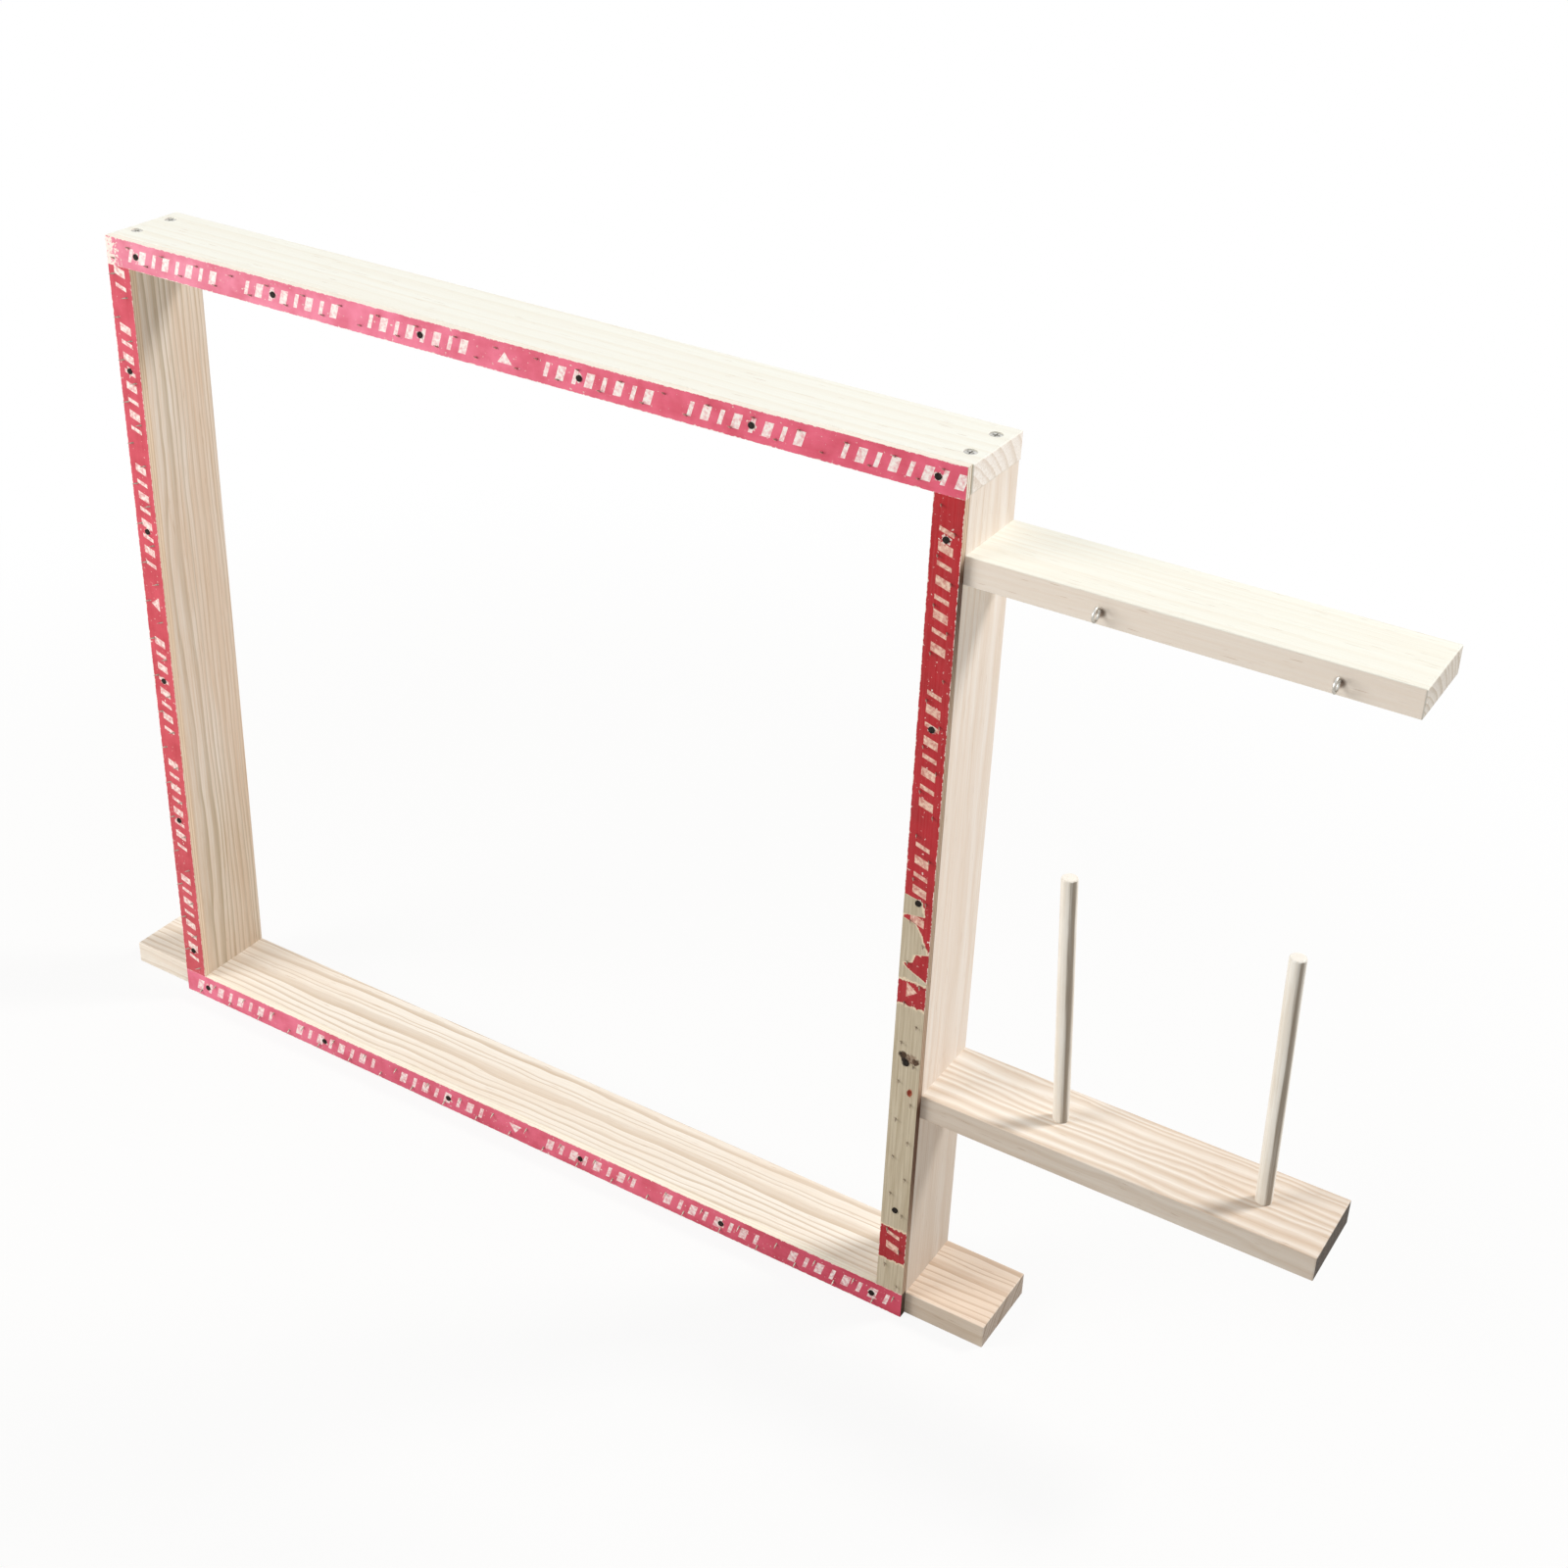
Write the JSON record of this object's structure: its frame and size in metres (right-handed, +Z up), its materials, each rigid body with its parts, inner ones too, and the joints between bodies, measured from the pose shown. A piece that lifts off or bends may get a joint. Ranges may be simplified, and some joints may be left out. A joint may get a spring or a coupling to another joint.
{
  "type": "tufting frame",
  "caption": "Standing wooden tufting frame edged with carpet gripper strips, with a side arm of yarn eyes and a shelf of cone pegs.",
  "frame": {"origin": "middle of the base rail's underside, on the surface that the frame stands on", "axes": "+X runs along the frame towards the yarn stand, the pinned face looks to -Y, +Z is up"},
  "size_m": [1.108, 0.0815, 0.706],
  "materials": {
    "pine": "planed, unvarnished",
    "dowel": "turned, sanded",
    "printed_ply": "plywood printed red on its face, worn",
    "zinc": "zinc plated",
    "steel_pin": "bare wire",
    "dark_nail": "blued, flat head"
  },
  "bodies": {
    "frame": {"base_rail": "pine", "top_rail": "pine", "left_stile": "pine", "right_stile": "pine", "yarn_arm": "pine", "cone_shelf": "pine", "inner_yarn_eye": "zinc", "outer_yarn_eye": "zinc", "top_gripper_strip": "printed_ply", "right_gripper_strip": "printed_ply", "bottom_gripper_strip": "printed_ply", "left_gripper_strip": "printed_ply", "top_strip_pins": "steel_pin", "right_strip_pins": "steel_pin", "bottom_strip_pins": "steel_pin", "left_strip_pins": "steel_pin", "top_strip_nails": "dark_nail", "right_strip_nails": "dark_nail", "bottom_strip_nails": "dark_nail", "left_strip_nails": "dark_nail", "top_rail_screws": "zinc", "base_rail_screws": "zinc", "yarn_arm_screws": "zinc", "cone_shelf_screws": "zinc"},
    "inner_peg": {"inner_peg": "dowel"},
    "outer_peg": {"outer_peg": "dowel"}
  },
  "joints": [
    {"name": "inner_peg_lift", "type": "slide", "parent": "frame", "child": "inner_peg", "axis": [-0.0698, 0, 0.9976], "range_m": [0, 0.02]},
    {"name": "outer_peg_lift", "type": "slide", "parent": "frame", "child": "outer_peg", "axis": [-0.0262, 0, 0.9997], "range_m": [0, 0.02]}
  ]
}
